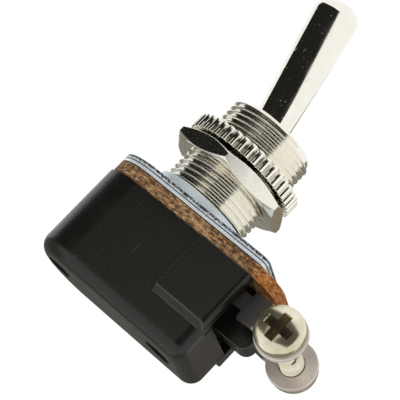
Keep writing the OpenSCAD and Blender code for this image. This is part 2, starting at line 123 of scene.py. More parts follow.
def phenolic_moulding(name, light, dark, dust):
    """Black phenolic, compression moulded in a polished tool: even gloss, dark, faint rub marks."""
    material, tree = new_tree(name)
    place = add(tree, "ShaderNodeTexCoord", output="Object")
    cloud = add(tree, "ShaderNodeTexNoise", {"Vector": place, "Scale": cells(5.88), "Detail": 4.0})
    base = add(tree, "ShaderNodeMix", {"Factor": cloud, "A": dark, "B": light}, data_type="RGBA")
    # Rub marks and specks of dust are finer than this on a real moulding, and are drawn to show.
    along = add(tree, "ShaderNodeMapping", {
        "Vector": place, "Scale": (1.0, 1.0, 0.06), "Rotation": (0.4, 0.9, 0.2),
    })
    streaks = add(tree, "ShaderNodeTexNoise", {"Vector": along, "Scale": cells(0.4545), "Detail": 2.0})
    rubs = add(tree, "ShaderNodeMapRange", {
        "Value": streaks, "From Min": 0.71, "From Max": 0.76, "To Max": 0.22,
    })
    grains = add(tree, "ShaderNodeTexNoise", {"Vector": place, "Scale": cells(0.15385), "Detail": 2.0})
    specks = add(tree, "ShaderNodeMapRange", {
        "Value": grains, "From Min": 0.69, "From Max": 0.76, "To Max": 0.35,
    })
    marks = add(tree, "ShaderNodeMath", {0: rubs, 1: specks}, operation="MAXIMUM")
    colour = add(tree, "ShaderNodeMix", {"Factor": marks, "A": base, "B": dust}, data_type="RGBA")
    gloss = add(tree, "ShaderNodeMapRange", {
        "Value": cloud, "From Min": 0.3, "From Max": 0.7, "To Min": 0.28, "To Max": 0.36,
    })
    skin = add(tree, "ShaderNodeTexNoise", {"Vector": place, "Scale": cells(1.111), "Detail": 3.0})
    relief = add(tree, "ShaderNodeBump", {"Height": skin, "Distance": 0.010 * MM})
    shader = add(tree, "ShaderNodeBsdfPrincipled", {
        "Base Color": colour, "Roughness": gloss, "Specular IOR Level": 0.42, "Normal": relief,
    })
    add(tree, "ShaderNodeOutputMaterial", {"Surface": shader})
    return material


def fibre_sheet(look, warm_from, warm_to):
    """Vulcanised brown fibre, punched from sheet: matt and mottled, warmer between two values of x."""
    material, tree = new_tree("brown_fibre_sheet")
    place = add(tree, "ShaderNodeTexCoord", output="Object")
    # The fibres lie in the sheet's plane. They are drawn coarser than real ones, so that they show.
    along = add(tree, "ShaderNodeMapping", {
        "Vector": place, "Scale": (0.45, 0.45, 1.0), "Rotation": (0.0, 0.12, 0.0),
    })
    layers = add(tree, "ShaderNodeTexNoise", {
        "Vector": along, "Scale": cells(0.29412), "Detail": 6.0, "Roughness": 0.72,
    })
    colour = add(tree, "ShaderNodeValToRGB", {"Fac": layers}, stops=[
        (0.34, look.fibre_pore), (0.43, look.fibre_dark), (0.51, look.fibre),
        (0.60, look.fibre_light), (0.70, look.fibre_pale),
    ])
    warm = add(tree, "ShaderNodeValToRGB", {"Fac": layers}, stops=[
        (0.34, look.warm_pore), (0.44, look.warm_dark), (0.54, look.warm), (0.70, look.warm_light),
    ])
    across = add(tree, "ShaderNodeSeparateXYZ", {"Vector": place}, output="X")
    blend = add(tree, "ShaderNodeMapRange", {
        "Value": across, "From Min": warm_from, "From Max": warm_to, "To Max": 0.85,
    }, interpolation_type="SMOOTHSTEP")
    mixed = add(tree, "ShaderNodeMix", {"Factor": blend, "A": colour, "B": warm}, data_type="RGBA")
    relief = add(tree, "ShaderNodeBump", {"Height": layers, "Distance": 0.09 * MM, "Strength": 0.8})
    shader = add(tree, "ShaderNodeBsdfPrincipled", {
        "Base Color": mixed, "Roughness": 0.8, "Specular IOR Level": 0.2, "Normal": relief,
    })
    add(tree, "ShaderNodeOutputMaterial", {"Surface": shader})
    return material


def zinc_plate(name, look, low, high, torn_from):
    """Zinc plated sheet steel, blanked in a press: its cut edge is bright below and torn above torn_from.

    low and high are the z of the sheet's two faces. What stands above high is the drawn collar.
    """
    material, tree = new_tree(name)
    sheet = high - low
    place = add(tree, "ShaderNodeTexCoord", output="Object")
    height = add(tree, "ShaderNodeSeparateXYZ", {"Vector": place}, output="Z")
    normal = add(tree, "ShaderNodeNewGeometry", output="Normal")
    upright = add(tree, "ShaderNodeSeparateXYZ", {"Vector": normal}, output="Z")
    slope = add(tree, "ShaderNodeMath", {0: upright}, operation="ABSOLUTE")
    on_edge = add(tree, "ShaderNodeMapRange", {"Value": slope, "From Min": 0.65, "From Max": 0.35})
    spread = add(tree, "ShaderNodeMapping", {"Vector": place, "Scale": (1.0, 1.0, 0.3)})
    jag = add(tree, "ShaderNodeTexNoise", {
        "Vector": spread, "Scale": cells(0.3125), "Detail": 5.0, "Roughness": 0.75,
    })
    # The noise sways the torn line by up to 1.6 sheets, 0.8 on average, and the line is 0.15 wide.
    sway = add(tree, "ShaderNodeMath", {0: jag, 1: sheet * 1.6, 2: height}, operation="MULTIPLY_ADD")
    line = torn_from + sheet * 0.8
    ragged = add(tree, "ShaderNodeMapRange", {
        "Value": sway, "From Min": line, "From Max": line + sheet * 0.15,
    })
    below = add(tree, "ShaderNodeMath", {0: height, 1: high + 0.02 * MM}, operation="LESS_THAN")
    torn = add(tree, "ShaderNodeMath", {0: ragged, 1: on_edge}, operation="MULTIPLY")
    torn = add(tree, "ShaderNodeMath", {0: torn, 1: below}, operation="MULTIPLY")
    pits = add(tree, "ShaderNodeTexNoise", {
        "Vector": place, "Scale": cells(0.19231), "Detail": 4.0, "Roughness": 0.8,
    })
    rough = add(tree, "ShaderNodeValToRGB", {"Fac": pits}, stops=[
        (0.44, look.torn_pit), (0.53, look.torn_dark), (0.58, look.torn), (0.66, look.torn_light),
    ])
    cloud = add(tree, "ShaderNodeTexNoise", {
        "Vector": place, "Scale": cells(2.381), "Detail": 5.0, "Roughness": 0.6,
    })
    face = add(tree, "ShaderNodeMix", {
        "Factor": cloud, "A": look.zinc, "B": look.zinc_shade,
    }, data_type="RGBA")
    drawn = add(tree, "ShaderNodeMath", {0: height, 1: high + 0.05 * MM}, operation="GREATER_THAN")
    face = add(tree, "ShaderNodeMix", {"Factor": drawn, "A": face, "B": look.collar}, data_type="RGBA")
    face = add(tree, "ShaderNodeMix", {"Factor": torn, "A": face, "B": rough}, data_type="RGBA")
    # Painted shade: a near-black line along the bottom of each sheet, where it lies on the next.
    seam = add(tree, "ShaderNodeMapRange", {
        "Value": height, "From Min": low + 0.13 * MM, "From Max": low + 0.09 * MM, "To Max": 0.95,
    })
    colour = add(tree, "ShaderNodeMix", {"Factor": seam, "A": face, "B": look.seam}, data_type="RGBA")
    haze = add(tree, "ShaderNodeMapRange", {
        "Value": cloud, "From Min": 0.3, "From Max": 0.7, "To Min": 0.30, "To Max": 0.46,
    })
    pitted = add(tree, "ShaderNodeMath", {0: pits, 1: torn}, operation="MULTIPLY")
    relief = add(tree, "ShaderNodeBump", {"Height": pitted, "Distance": 0.09 * MM})
    shader = add(tree, "ShaderNodeBsdfPrincipled", {
        "Base Color": colour, "Metallic": 0.35, "Roughness": haze, "Normal": relief,
    })
    add(tree, "ShaderNodeOutputMaterial", {"Surface": shader})
    return material


def nickel_plate(name, look, roughness, marks):
    """Bright nickel plate on turned brass: warm white mirror with turning haze and handling scratches."""
    material, tree = new_tree(name)
    place = add(tree, "ShaderNodeTexCoord", output="Object")
    cloud = add(tree, "ShaderNodeTexNoise", {"Vector": place, "Scale": cells(1.6129), "Detail": 4.0})
    colour = add(tree, "ShaderNodeMix", {
        "Factor": cloud, "A": look.nickel, "B": look.nickel_light,
    }, data_type="RGBA")
    # Handling scratches run two ways. Real ones are hairlines, and these are drawn wider to show.
    hairs = add(tree, "ShaderNodeMapping", {
        "Vector": place, "Scale": (1.0, 1.0, 0.05), "Rotation": (0.3, 1.2, 0.5),
    })
    hair = add(tree, "ShaderNodeTexNoise", {"Vector": hairs, "Scale": cells(0.30303), "Detail": 2.0})
    crossing = add(tree, "ShaderNodeMapping", {
        "Vector": place, "Scale": (1.0, 0.05, 1.0), "Rotation": (1.3, 0.2, 0.1),
    })
    scuff = add(tree, "ShaderNodeTexNoise", {"Vector": crossing, "Scale": cells(0.22222), "Detail": 2.0})
    deepest = add(tree, "ShaderNodeMath", {0: hair, 1: scuff}, operation="MAXIMUM")
    lines = add(tree, "ShaderNodeMapRange", {
        "Value": deepest, "From Min": 0.71, "From Max": 0.75, "To Max": marks,
    })
    haze = add(tree, "ShaderNodeMapRange", {
        "Value": cloud, "From Min": 0.35, "From Max": 0.70, "To Min": roughness, "To Max": roughness * 1.5,
    })
    wear_and_highlight = add(tree, "ShaderNodeMath", {0: lines, 1: 0.35, 2: haze}, operation="MULTIPLY_ADD")
    relief = add(tree, "ShaderNodeBump", {"Height": lines, "Distance": 0.004 * MM})
    shader = add(tree, "ShaderNodeBsdfPrincipled", {
        "Base Color": colour, "Metallic": 1.0, "Roughness": wear_and_highlight, "Normal": relief,
    })
    add(tree, "ShaderNodeOutputMaterial", {"Surface": shader})
    return material


def plain_metal(name, light, dark, metallic, roughness, grain_mm, dull=None, painted_shade_to=0.0):
    """Small metal pieces as they leave the barrel, with a soft haze; below a given x a painted shade colour
    takes over.
    """
    material, tree = new_tree(name)
    place = add(tree, "ShaderNodeTexCoord", output="Object")
    cloud = add(tree, "ShaderNodeTexNoise", {"Vector": place, "Scale": cells(grain_mm * 4), "Detail": 5.0})
    patches = add(tree, "ShaderNodeMapRange", {"Value": cloud, "From Min": 0.35, "From Max": 0.65})
    colour = add(tree, "ShaderNodeMix", {"Factor": patches, "A": light, "B": dark}, data_type="RGBA")
    if dull is not None:
        # Painted shade: towards lower x, past a wavy border, the colour turns to the given shade colour.
        across = add(tree, "ShaderNodeSeparateXYZ", {"Vector": place}, output="X")
        painted_shade_border = add(tree, "ShaderNodeMath", {0: cloud, 1: 0.6 * MM, 2: across}, operation="MULTIPLY_ADD")
        near = add(tree, "ShaderNodeMapRange", {
            "Value": painted_shade_border, "From Min": painted_shade_to + 0.4 * MM, "From Max": painted_shade_to,
        })
        colour = add(tree, "ShaderNodeMix", {"Factor": near, "A": colour, "B": dull}, data_type="RGBA")
    grain = add(tree, "ShaderNodeTexNoise", {
        "Vector": place, "Scale": cells(grain_mm), "Detail": 4.0, "Roughness": 0.65,
    })
    haze = add(tree, "ShaderNodeMapRange", {
        "Value": grain, "From Min": 0.3, "From Max": 0.7,
        "To Min": roughness * 0.8, "To Max": roughness * 1.25,
    })
    relief = add(tree, "ShaderNodeBump", {"Height": cloud, "Distance": 0.003 * MM})
    shader = add(tree, "ShaderNodeBsdfPrincipled", {
        "Base Color": colour, "Metallic": metallic, "Roughness": haze, "Normal": relief,
    })
    add(tree, "ShaderNodeOutputMaterial", {"Surface": shader})
    return material


# --- mesh helpers ----------------------------------------------------------------------------

def piece(name, bm, material, body, node, sharp=40, second=None):
    """Turn a bmesh into a finished piece that rides on a body and stands for a CAD node."""
    mesh = bpy.data.meshes.new(name)
    bm.to_mesh(mesh)
    bm.free()
    mesh.materials.append(material)
    if second:
        mesh.materials.append(second)
    mesh.shade_smooth()
    mesh.set_sharp_from_angle(angle=math.radians(sharp))
    obj = bpy.data.objects.new(name, mesh)
    bpy.context.scene.collection.objects.link(obj)
    obj.modifiers.new("flat_faces_stay_flat", "WEIGHTED_NORMAL").keep_sharp = True
    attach(obj, body)
    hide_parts(node)
    return obj


def merged_copy(node):
    """A bmesh of a CAD node with its loose triangles joined into flat faces."""
    bm = bmesh.new()
    bm.from_mesh(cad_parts[node].data)
    bmesh.ops.remove_doubles(bm, verts=bm.verts, dist=WELD)
    bmesh.ops.dissolve_limit(bm, angle_limit=math.radians(0.3), verts=bm.verts, edges=bm.edges)
    return bm


def round_edges(bm, width, segments=2, over=35):
    """Round the edges that turn by more than over degrees, and give back the new faces."""
    limit = math.radians(over)
    edges = [e for e in bm.edges if e.is_manifold and e.calc_face_angle(0.0) > limit]
    made = bmesh.ops.bevel(
        bm, geom=edges, offset=width, offset_type="OFFSET", segments=segments,
        profile=0.5, affect="EDGES", clamp_overlap=False, material=-1,
    )
    return made["faces"]


def lathe(profile, steps):
    """A closed solid turned about Z from (radius, height) points; both ends lie on the axis or meet."""
    bm = bmesh.new()
    verts = [bm.verts.new((r, 0.0, z)) for r, z in profile]
    for a, b in zip(verts, verts[1:]):
        bm.edges.new((a, b))
    if profile[0][0] > 0:
        bm.edges.new((verts[-1], verts[0]))
    bmesh.ops.spin(
        bm, geom=bm.verts[:] + bm.edges[:], cent=(0, 0, 0), axis=(0, 0, 1),
        angle=2 * math.pi, steps=steps, use_merge=True,
    )
    bmesh.ops.remove_doubles(bm, verts=bm.verts, dist=WELD)
    bmesh.ops.recalc_face_normals(bm, faces=bm.faces)
    return bm


def add_thread(bm, radius, pitch, low, high, limit, turn_steps):
    """Wind a screw thread ridge about Z from low to high; limit(z) is the most its crest may reach."""
    root = radius - THREAD_DEPTH * pitch - 0.08 * MM  # the ridge is sunk a little into the core
    brow = radius - 0.03 * MM  # the crest's edges are broken
    section = [(root, -0.50), (brow, -0.09), (radius, -0.05), (radius, 0.05), (brow, 0.09), (root, 0.50)]
    ridge = bmesh.new()
    verts = [ridge.verts.new((r, 0.0, low + pitch * share)) for r, share in section]
    edges = [ridge.edges.new(pair) for pair in zip(verts, verts[1:] + verts[:1])]
    turns = (high - low) / pitch
    steps = round(turns * turn_steps)
    bmesh.ops.spin(
        ridge, geom=verts + edges, cent=(0, 0, 0), axis=(0, 0, 1), angle=2 * math.pi * turns,
        steps=steps, dvec=(0, 0, (high - low) / steps),
    )
    bmesh.ops.holes_fill(ridge, edges=ridge.edges, sides=len(section))
    bmesh.ops.recalc_face_normals(ridge, faces=ridge.faces)
    run_out = 0.4 * pitch
    spare = 0.1 * MM
    for v in ridge.verts:
        r = math.hypot(v.co.x, v.co.y)
        z = v.co.z
        share = min(1.0, (z - low + spare) / run_out, (high - z + spare) / run_out)
        cap = min(limit(z), root + (radius - root) * max(share, 0.0))
        if r > cap:
            v.co.x *= cap / r
            v.co.y *= cap / r
    scrap = bpy.data.meshes.new("ridge")
    ridge.to_mesh(scrap)
    ridge.free()
    bm.from_mesh(scrap)
    bpy.data.meshes.remove(scrap)


def cut_away(bm, cutter, name):
    """Subtract one closed bmesh from another with an exact boolean."""
    made = []
    for part, source in (("body", bm), ("cutter", cutter)):
        mesh = bpy.data.meshes.new(name + part)
        source.to_mesh(mesh)
        source.free()
        obj = bpy.data.objects.new(name + part, mesh)
        bpy.context.scene.collection.objects.link(obj)
        made.append(obj)
    tool = made[0].modifiers.new("cut", "BOOLEAN")
    tool.operation = "DIFFERENCE"
    tool.solver = "EXACT"
    tool.object = made[1]
    result = made[0].evaluated_get(bpy.context.evaluated_depsgraph_get()).to_mesh()
    out = bmesh.new()
    out.from_mesh(result)
    for obj in made:
        mesh = obj.data
        bpy.data.objects.remove(obj)
        bpy.data.meshes.remove(mesh)
    return out


def fractions(start, end, steps):
    """Evenly spaced values from start to end, both included."""
    return [start + (end - start) * i / steps for i in range(steps + 1)]


# --- what a user can change ------------------------------------------------------------------

def colour_prop(name, description, hex_colour):
    """A colour that the panel shows as a swatch."""
    return FloatVectorProperty(
        name=name, description=description, default=linear(hex_colour), size=4,
        min=0.0, max=1.0, subtype="COLOR",
    )


def size_prop(name, description, default_mm, low_mm=0.0, high_mm=10.0):
    """A length, given here in mm and kept in metres."""
    return FloatProperty(
        name=name, description=description, default=default_mm * MM, min=low_mm * MM, soft_max=high_mm * MM,
        precision=5, unit="LENGTH",
    )


def share_prop(name, description, default):
    """A value from 0 to 1."""
    return FloatProperty(
        name=name, description=description, default=default, min=0.0, max=1.0, subtype="FACTOR",
    )


class ToggleLook(bpy.types.PropertyGroup):
    """Colours of the finishes and the studio"""
    moulding: colour_prop("Moulding", "Phenolic body", "#0f100c")
    moulding_worn: colour_prop("Moulding, worn", "Phenolic body where it is rubbed", "#171813")
    # Painted highlight along the rounded edges of the moulding.
    moulding_edge: colour_prop("Moulding, edges", "Phenolic body along its rubbed edges", "#4b4b45")
    moulding_dust: colour_prop("Moulding, dust", "Rub marks and dust on the phenolic body", "#7b7a72")
    fibre_pore: colour_prop("Fibre, pores", "Fibre sheet, deep in its pores", "#37260f")
    fibre_dark: colour_prop("Fibre, dark", "Fibre sheet in its pores", "#5c4026")
    fibre: colour_prop("Fibre", "Fibre sheet between pores and fibres", "#80603f")
    fibre_light: colour_prop("Fibre, light", "Fibre sheet on its fibres", "#ad8c66")
    fibre_pale: colour_prop("Fibre, pale", "Fibre sheet on its palest fibres", "#cfb08a")
    warm_pore: colour_prop("Fibre end, pores", "Terminal end of the fibre sheet, in its pores", "#3d230c")
    warm_dark: colour_prop("Fibre end, dark", "Terminal end of the fibre sheet, by its pores", "#86511f")
    warm: colour_prop("Fibre end", "Terminal end of the fibre sheet", "#ae6c34")
    warm_light: colour_prop("Fibre end, light", "Terminal end of the fibre sheet, on its fibres", "#d99a5c")
    nickel: colour_prop("Nickel", "Bright plated pieces", "#ece8dc")
    nickel_light: colour_prop("Nickel, light", "Bright plate where it is thickest", "#fbf8ee")
    zinc: colour_prop("Zinc", "Plated sheet steel", "#f0f5f8")
    zinc_shade: colour_prop("Zinc, shade", "Plated sheet steel in its clouds", "#c3ced6")
    collar: colour_prop("Collar", "Collar drawn up round the bushing", "#d2dcdf")
    torn_pit: colour_prop("Torn edge, pits", "Torn edge of the sheet, in its pits", "#0d0f12")
    torn_dark: colour_prop("Torn edge, dark", "Torn edge of the sheet, by its pits", "#3a4046")
    torn: colour_prop("Torn edge", "Torn edge of the sheet", "#a9b4bc")
    torn_light: colour_prop("Torn edge, light", "Torn edge of the sheet, on its peaks", "#eef4f8")
    # Painted shade for the line where one sheet lies on the next.
    seam: colour_prop("Seam", "Dark line where one sheet lies on the next", "#101114")
    screw: colour_prop("Screw", "Terminal screws", "#f0ecd8")
    screw_shade: colour_prop("Screw, shade", "Terminal screws in their haze", "#bdb792")
    # Painted shade in the cross recess and the thread roots of a terminal screw.
    recess: colour_prop("Recess", "Cross recess and thread roots of a terminal screw", "#75602f")
    recess_shade: colour_prop("Recess, shade", "The same, in its haze", "#24180c")
    tin: colour_prop("Tin", "Tinned terminals", "#e3d9d0")
    tin_shade: colour_prop("Tin, shade", "Tinned terminals in their haze", "#c2b6ae")
    # Painted shade on the terminals where they run close to the moulding.
    tin_painted_shade: colour_prop("Tin, dull", "Terminals close to the moulding", "#484543")
    wire: colour_prop("Spring wire", "Plunger's spring", "#c4c4bf")
    wire_shade: colour_prop("Spring wire, shade", "Plunger's spring in its haze", "#979792")
    brass: colour_prop("Brass", "Pressed brass inside the case", "#d9b25c")
    brass_shade: colour_prop("Brass, shade", "Pressed brass in its haze", "#b08a40")
    silver: colour_prop("Silver", "Contact faces", "#ececea")
    silver_shade: colour_prop("Silver, shade", "Contact faces in their haze", "#c9c9c5")
    steel: colour_prop("Steel", "Pins and case rivets", "#b9b9b4")
    steel_shade: colour_prop("Steel, shade", "Pins and case rivets in their haze", "#8e8e89")
    floor: colour_prop("Floor", "Floor of the studio", "#fdfdfd")
    card_dark: colour_prop("Dark card", "Card that gives the metal its dark stripe", "#20201e")
    card_gap: colour_prop("Gap card", "Pale strip in front of the dark card", "#d8d4c8")
    card_grey: colour_prop("Grey card", "Card on the far side of the switch", "#857b6e")
    card_low: colour_prop("Low card", "Card below the switch", "#84817a")
    lever_roughness: share_prop("Lever roughness", "Roughness of the polished lever", 0.06)


class ToggleSizes(bpy.types.PropertyGroup):
    """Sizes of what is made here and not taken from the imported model"""
    thread_pitch: size_prop("Bushing thread pitch", "Distance between turns of the bushing thread", 0.75)
    thread_radius: size_prop("Bushing thread radius", "Radius over the bushing thread", 6.0)
    rim_chamfer: size_prop("Rim chamfer", "Chamfer round the rim of the bushing", 0.6)
    mouth: size_prop("Mouth", "Radius of the bushing's mouth at its rim", 4.34)
    mouth_break: size_prop("Mouth break", "Depth of the broken edge inside the rim", 0.14)
    lip: size_prop("Lip", "Radius inside the lip that keeps the ball in", 3.33)
    lip_rise: size_prop("Lip rise", "Height of the lip above the lever's pivot", 1.5)
    socket: size_prop("Socket", "Radius of the socket that the ball turns in", 3.65)
    pivot_depth: size_prop("Pivot depth", "Depth of the lever's pivot below the rim", 3.2)
    stem_room: size_prop("Stem room", "Radius of the bore that the stem swings in", 4.7)
    stem_room_top: size_prop("Stem room top", "Height of that bore's top above the mounting plate", 3.0)
    screw_pitch: size_prop("Terminal screw pitch", "Distance between turns of a terminal screw's thread", 0.7)
    screw_radius: size_prop("Terminal screw radius", "Radius over a terminal screw's thread", 1.5)
    recess_length: size_prop("Recess length", "Cross recess of a terminal screw, from end to end", 3.3)
    recess_width: size_prop("Recess width", "Width of a slot of the cross recess", 1.05)
    recess_depth: size_prop("Recess depth", "Depth of the cross recess below the top of the head", 1.25)
    recess_rim: size_prop("Recess rim", "Depth below which the cross recess tapers", 0.34)
    recess_draft: share_prop("Recess draft", "How much narrower the cross recess is at its bottom", 0.35)
    recess_flare: share_prop("Recess flare", "How much wider the cross recess opens above its rim", 0.32)
    moulding_edge: size_prop("Moulding edge", "Radius on the sharp edges of the moulding", 0.11)
    sheet_edge: size_prop("Sheet edge", "Radius on the edges of blanked sheet", 0.07)
    terminal_edge: size_prop("Terminal edge", "Radius on the edges of the terminals", 0.112)
    nut_edge: size_prop("Nut edge", "Radius on the edges of the nuts", 0.06)
    lever_tilt: FloatProperty(
        name="Lever tilt", description="Lean of the lever from the bushing's axis at rest",
        default=math.radians(14), subtype="ANGLE",
    )
    handle_length: size_prop("Handle length", "Lever from its pivot to its tip", 22.3, 10, 40)
    handle_root: size_prop("Handle root", "Radius of the handle where it meets the ball", 2.32)
    handle_tip: size_prop("Handle tip", "Radius of the handle at its thick end", 3.0)
    handle_edge: size_prop("Handle edge", "Radius round the end of the handle", 2.0)
    handle_crown: size_prop("Handle crown", "How far the end of the handle bulges", 0.25)
    ball: size_prop("Ball", "Radius of the ball that the lever turns on", 3.6)
    stem: size_prop("Stem", "Radius of the lever's stem", 1.6)
    stem_length: size_prop("Stem length", "Stem of the lever from its pivot", 11.5, 5, 20)
    stem_bore: size_prop("Stem bore", "Radius of the bore for the plunger", 0.95)
    bore_top: size_prop("Bore top", "Distance from the pivot to the end of the plunger's bore", 4.5)
    spring_length: size_prop("Spring length", "Length of the plunger's spring at rest", 2.8)
    plunger_travel: size_prop("Plunger travel", "How far the plunger can be pushed in", 0.8)
    turn_steps: IntProperty(name="Turn steps", description="Facets round a turned piece", default=128, min=24)


# --- operators -------------------------------------------------------------------------------

class TOGGLE_OT_housing(bpy.types.Operator):
    """Round the edges of the moulded housing and give it its finish"""
    bl_idname = "toggle.housing"
    bl_label = "Housing"

    def execute(self, context):
        look = context.scene.toggle_look
        size = context.scene.toggle_sizes
        bm = merged_copy("housing")
        # The rounded edges get a second, lighter material: a painted highlight along them.
        for face in round_edges(bm, size.moulding_edge, 3):
            face.material_index = 1
        dust = look.moulding_dust
        phenolic = phenolic_moulding("black_phenolic", look.moulding_worn, look.moulding, dust)
        wear_and_highlight = phenolic_moulding("black_phenolic_edge_highlight", look.moulding_edge, look.moulding_worn, dust)
        piece("housing_moulding", bm, phenolic, "body", "housing", sharp=50, second=wear_and_highlight)
        return {"FINISHED"}


class TOGGLE_OT_plates(bpy.types.Operator):
    """Finish the fibre insulator and the two steel plates"""
    bl_idname = "toggle.plates"
    bl_label = "Plates"

    def execute(self, context):
        look = context.scene.toggle_look
        size = context.scene.toggle_sizes
        fibre_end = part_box("insulator_plate")[1].x
        warm_start, warm_full = 4.2 * MM, 1.8 * MM  # back from the terminal end of the fibre sheet
        fibre = fibre_sheet(look, fibre_end - warm_start, fibre_end - warm_full)
        frame_low, frame_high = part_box("frame_plate")
        plate_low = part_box("mounting_plate")[0].z
        frame_zinc = zinc_plate("frame_plate_zinc", look, frame_low.z, frame_high.z, frame_high.z)
        torn_from = plate_low * 0.6  # the frame plate's edge is bright all the way up
        mounting_zinc = zinc_plate("mounting_plate_zinc", look, plate_low, 0.0, torn_from)
        for node, name, slot, metal in (
            ("insulator_plate", "insulator_sheet", "fibre", fibre),
            ("frame_plate", "frame_plate_blank", "plated_steel", frame_zinc),
            ("mounting_plate", "mounting_plate_blank", "plated_steel", mounting_zinc),
        ):
            bm = merged_copy(node)
            round_edges(bm, size.sheet_edge)
            piece(name, bm, metal, "body", node)
        return {"FINISHED"}


class TOGGLE_OT_bushing(bpy.types.Operator):
    """Turn the bushing, wind its thread and plate it"""
    bl_idname = "toggle.bushing"
    bl_label = "Bushing"

    def execute(self, context):
        look = context.scene.toggle_look
        size = context.scene.toggle_sizes
        low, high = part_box("bushing")
        plate_low, plate_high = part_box("mounting_plate")
        radius = size.thread_radius
        core = radius - THREAD_DEPTH * size.thread_pitch
        rim = high.z
        rim_r = radius - size.rim_chamfer
        chamfer_z = rim - size.rim_chamfer
        pivot = rim - size.pivot_depth
        lip = pivot + size.lip_rise
        # Up the outside: flange, plain neck, core of the thread and rim.
        outside = [
            (size.stem_room, low.z), (high.x, low.z), (high.x, plate_low.z), (radius, plate_low.z),
            (radius, 0.2 * MM), (core, 0.5 * MM), (core, chamfer_z - 0.25 * MM),
            (core + 0.02 * MM, chamfer_z + 0.30 * MM), (rim_r - 0.06 * MM, rim),
        ]
        # Down the inside: mouth, lip over the ball, socket and room for the stem.
        inside = [
            (size.mouth, rim), (size.mouth - 0.2 * MM, rim - size.mouth_break), (size.lip, lip),
            (size.socket, lip), (size.socket, pivot - size.ball), (size.stem_room, size.stem_room_top),
        ]
        bm = lathe(outside + inside, size.turn_steps)

        def limit(z):
            return min(radius, rim_r + (rim - z))

        thread_low = plate_high.z - 0.3 * MM
        thread_high = rim - 0.32 * MM
        add_thread(bm, radius, size.thread_pitch, thread_low, thread_high, limit, turn_steps=72)
        nickel = nickel_plate("nickel_threaded", look, roughness=0.13, marks=0.3)
        piece("bushing_threaded", bm, nickel, "body", "bushing", sharp=32)
        return {"FINISHED"}


class TOGGLE_OT_nuts(bpy.types.Operator):
    """Round the edges of the hexagon nut and the knurled nut and give them their finish"""
    bl_idname = "toggle.nuts"
    bl_label = "Nuts"

    def execute(self, context):
        nickel = nickel_plate("nickel_nuts", context.scene.toggle_look, roughness=0.11, marks=0.8)
        for node, name in (("hex_nut", "hex_nut_bright"), ("knurled_nut", "knurled_nut_bright")):
            bm = merged_copy(node)
            round_edges(bm, context.scene.toggle_sizes.nut_edge)
            piece(name, bm, nickel, node, node)
        return {"FINISHED"}


class TOGGLE_OT_lever(bpy.types.Operator):
    """Turn the lever, with its ball, stem and plunger bore, and polish it"""
    bl_idname = "toggle.lever"
    bl_label = "Lever"

    def execute(self, context):
        look = context.scene.toggle_look
        size = context.scene.toggle_sizes
        edge = size.handle_edge
        shoulder = size.handle_length - edge - size.handle_crown
        neck = math.acos(size.stem / size.ball)
        root = math.acos(size.handle_root / size.ball)
        ball = [(size.ball * math.cos(t), size.ball * math.sin(t)) for t in fractions(-neck, root, 16)]
        tip = [
            (size.handle_tip - edge * (1 - math.cos(t)), shoulder + edge * math.sin(t))
            for t in fractions(0, math.pi / 2, 12)
        ]
        crown = [
            ((size.handle_tip - edge) / 2, size.handle_length - size.handle_crown / 4),
            (0, size.handle_length),
        ]
        bore = [
            (0, -size.bore_top), (size.stem_bore, -size.bore_top), (size.stem_bore, -size.stem_length),
            (size.stem, -size.stem_length),
        ]
        bm = lathe(bore + ball + tip + crown, size.turn_steps)
        low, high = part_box("pivot_pin")
        lean = Matrix.Rotation(-size.lever_tilt, 4, "Y")
        bmesh.ops.transform(bm, matrix=Matrix.Translation((low + high) / 2) @ lean, verts=bm.verts)
        nickel = nickel_plate("nickel_polished", look, look.lever_roughness, marks=1.0)
        piece("lever_bat", bm, nickel, "lever", "lever")
        return {"FINISHED"}


class TOGGLE_OT_screws(bpy.types.Operator):
    """Make the terminal screws, with their thread and cross recess"""
    bl_idname = "toggle.screws"
    bl_label = "Terminal screws"

    def execute(self, context):
        look = context.scene.toggle_look
        metal = plain_metal(
            "screw_plated", look.screw, look.screw_shade, metallic=0.9, roughness=0.17, grain_mm=1.0,
        )
        # Painted shade for the cross recess and the thread roots: a dark brown second material.
        dark = plain_metal(
            "screw_recess_painted_shade", look.recess, look.recess_shade, metallic=0.6, roughness=0.30, grain_mm=0.8,
        )
        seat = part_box("terminal_rear")[1].y
        for node, name, side in (
            ("terminal_screw_front", "screw_front", -1),
            ("terminal_screw_rear", "screw_rear", 1),
        ):
            low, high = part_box(node)
            middle = (low + high) / 2
            head_r = (high.x - low.x) / 2
            head_h = high.y - seat if side > 0 else -seat - low.y
            shank_l = (high.y - low.y) - head_h
            bm = screw_blank(head_r, head_h, shank_l, context.scene.toggle_sizes)
            place = Matrix.Translation((middle.x, side * seat, middle.z))
            turn = Matrix.Rotation(math.radians(-90 * side), 4, "X")
            bmesh.ops.transform(bm, matrix=place @ turn, verts=bm.verts)
            piece(name, bm, metal, name, node, sharp=35, second=dark)
        return {"FINISHED"}


def cross_cutter(length, width, low, rim, high, draft, flare):
    """A plus-shaped bar that tapers below its rim and flares above it."""
    far, near = length / 2, width / 2
    quarter = [(far, -near), (far, near), (near, near)]
    bm = bmesh.new()
    ring = []
    for turn in range(4):
        spin = Matrix.Rotation(turn * math.pi / 2, 2)
        ring += [bm.verts.new((*(spin @ Vector(corner)), low)) for corner in quarter]
    face = bm.faces.new(ring)
    for rise, scale in ((rim - low, 1 / (1 - draft)), (high - rim, 1 + flare)):
        grown = bmesh.ops.extrude_face_region(bm, geom=[face])["geom"]
        face = next(part for part in grown if isinstance(part, bmesh.types.BMFace))
        bmesh.ops.translate(bm, vec=(0, 0, rise), verts=face.verts)
        bmesh.ops.scale(bm, vec=(scale, scale, 1), verts=face.verts)
    bmesh.ops.scale(bm, vec=(1 - draft, 1 - draft, 1), verts=bm.verts)
    bmesh.ops.recalc_face_normals(bm, faces=bm.faces)
    return bm


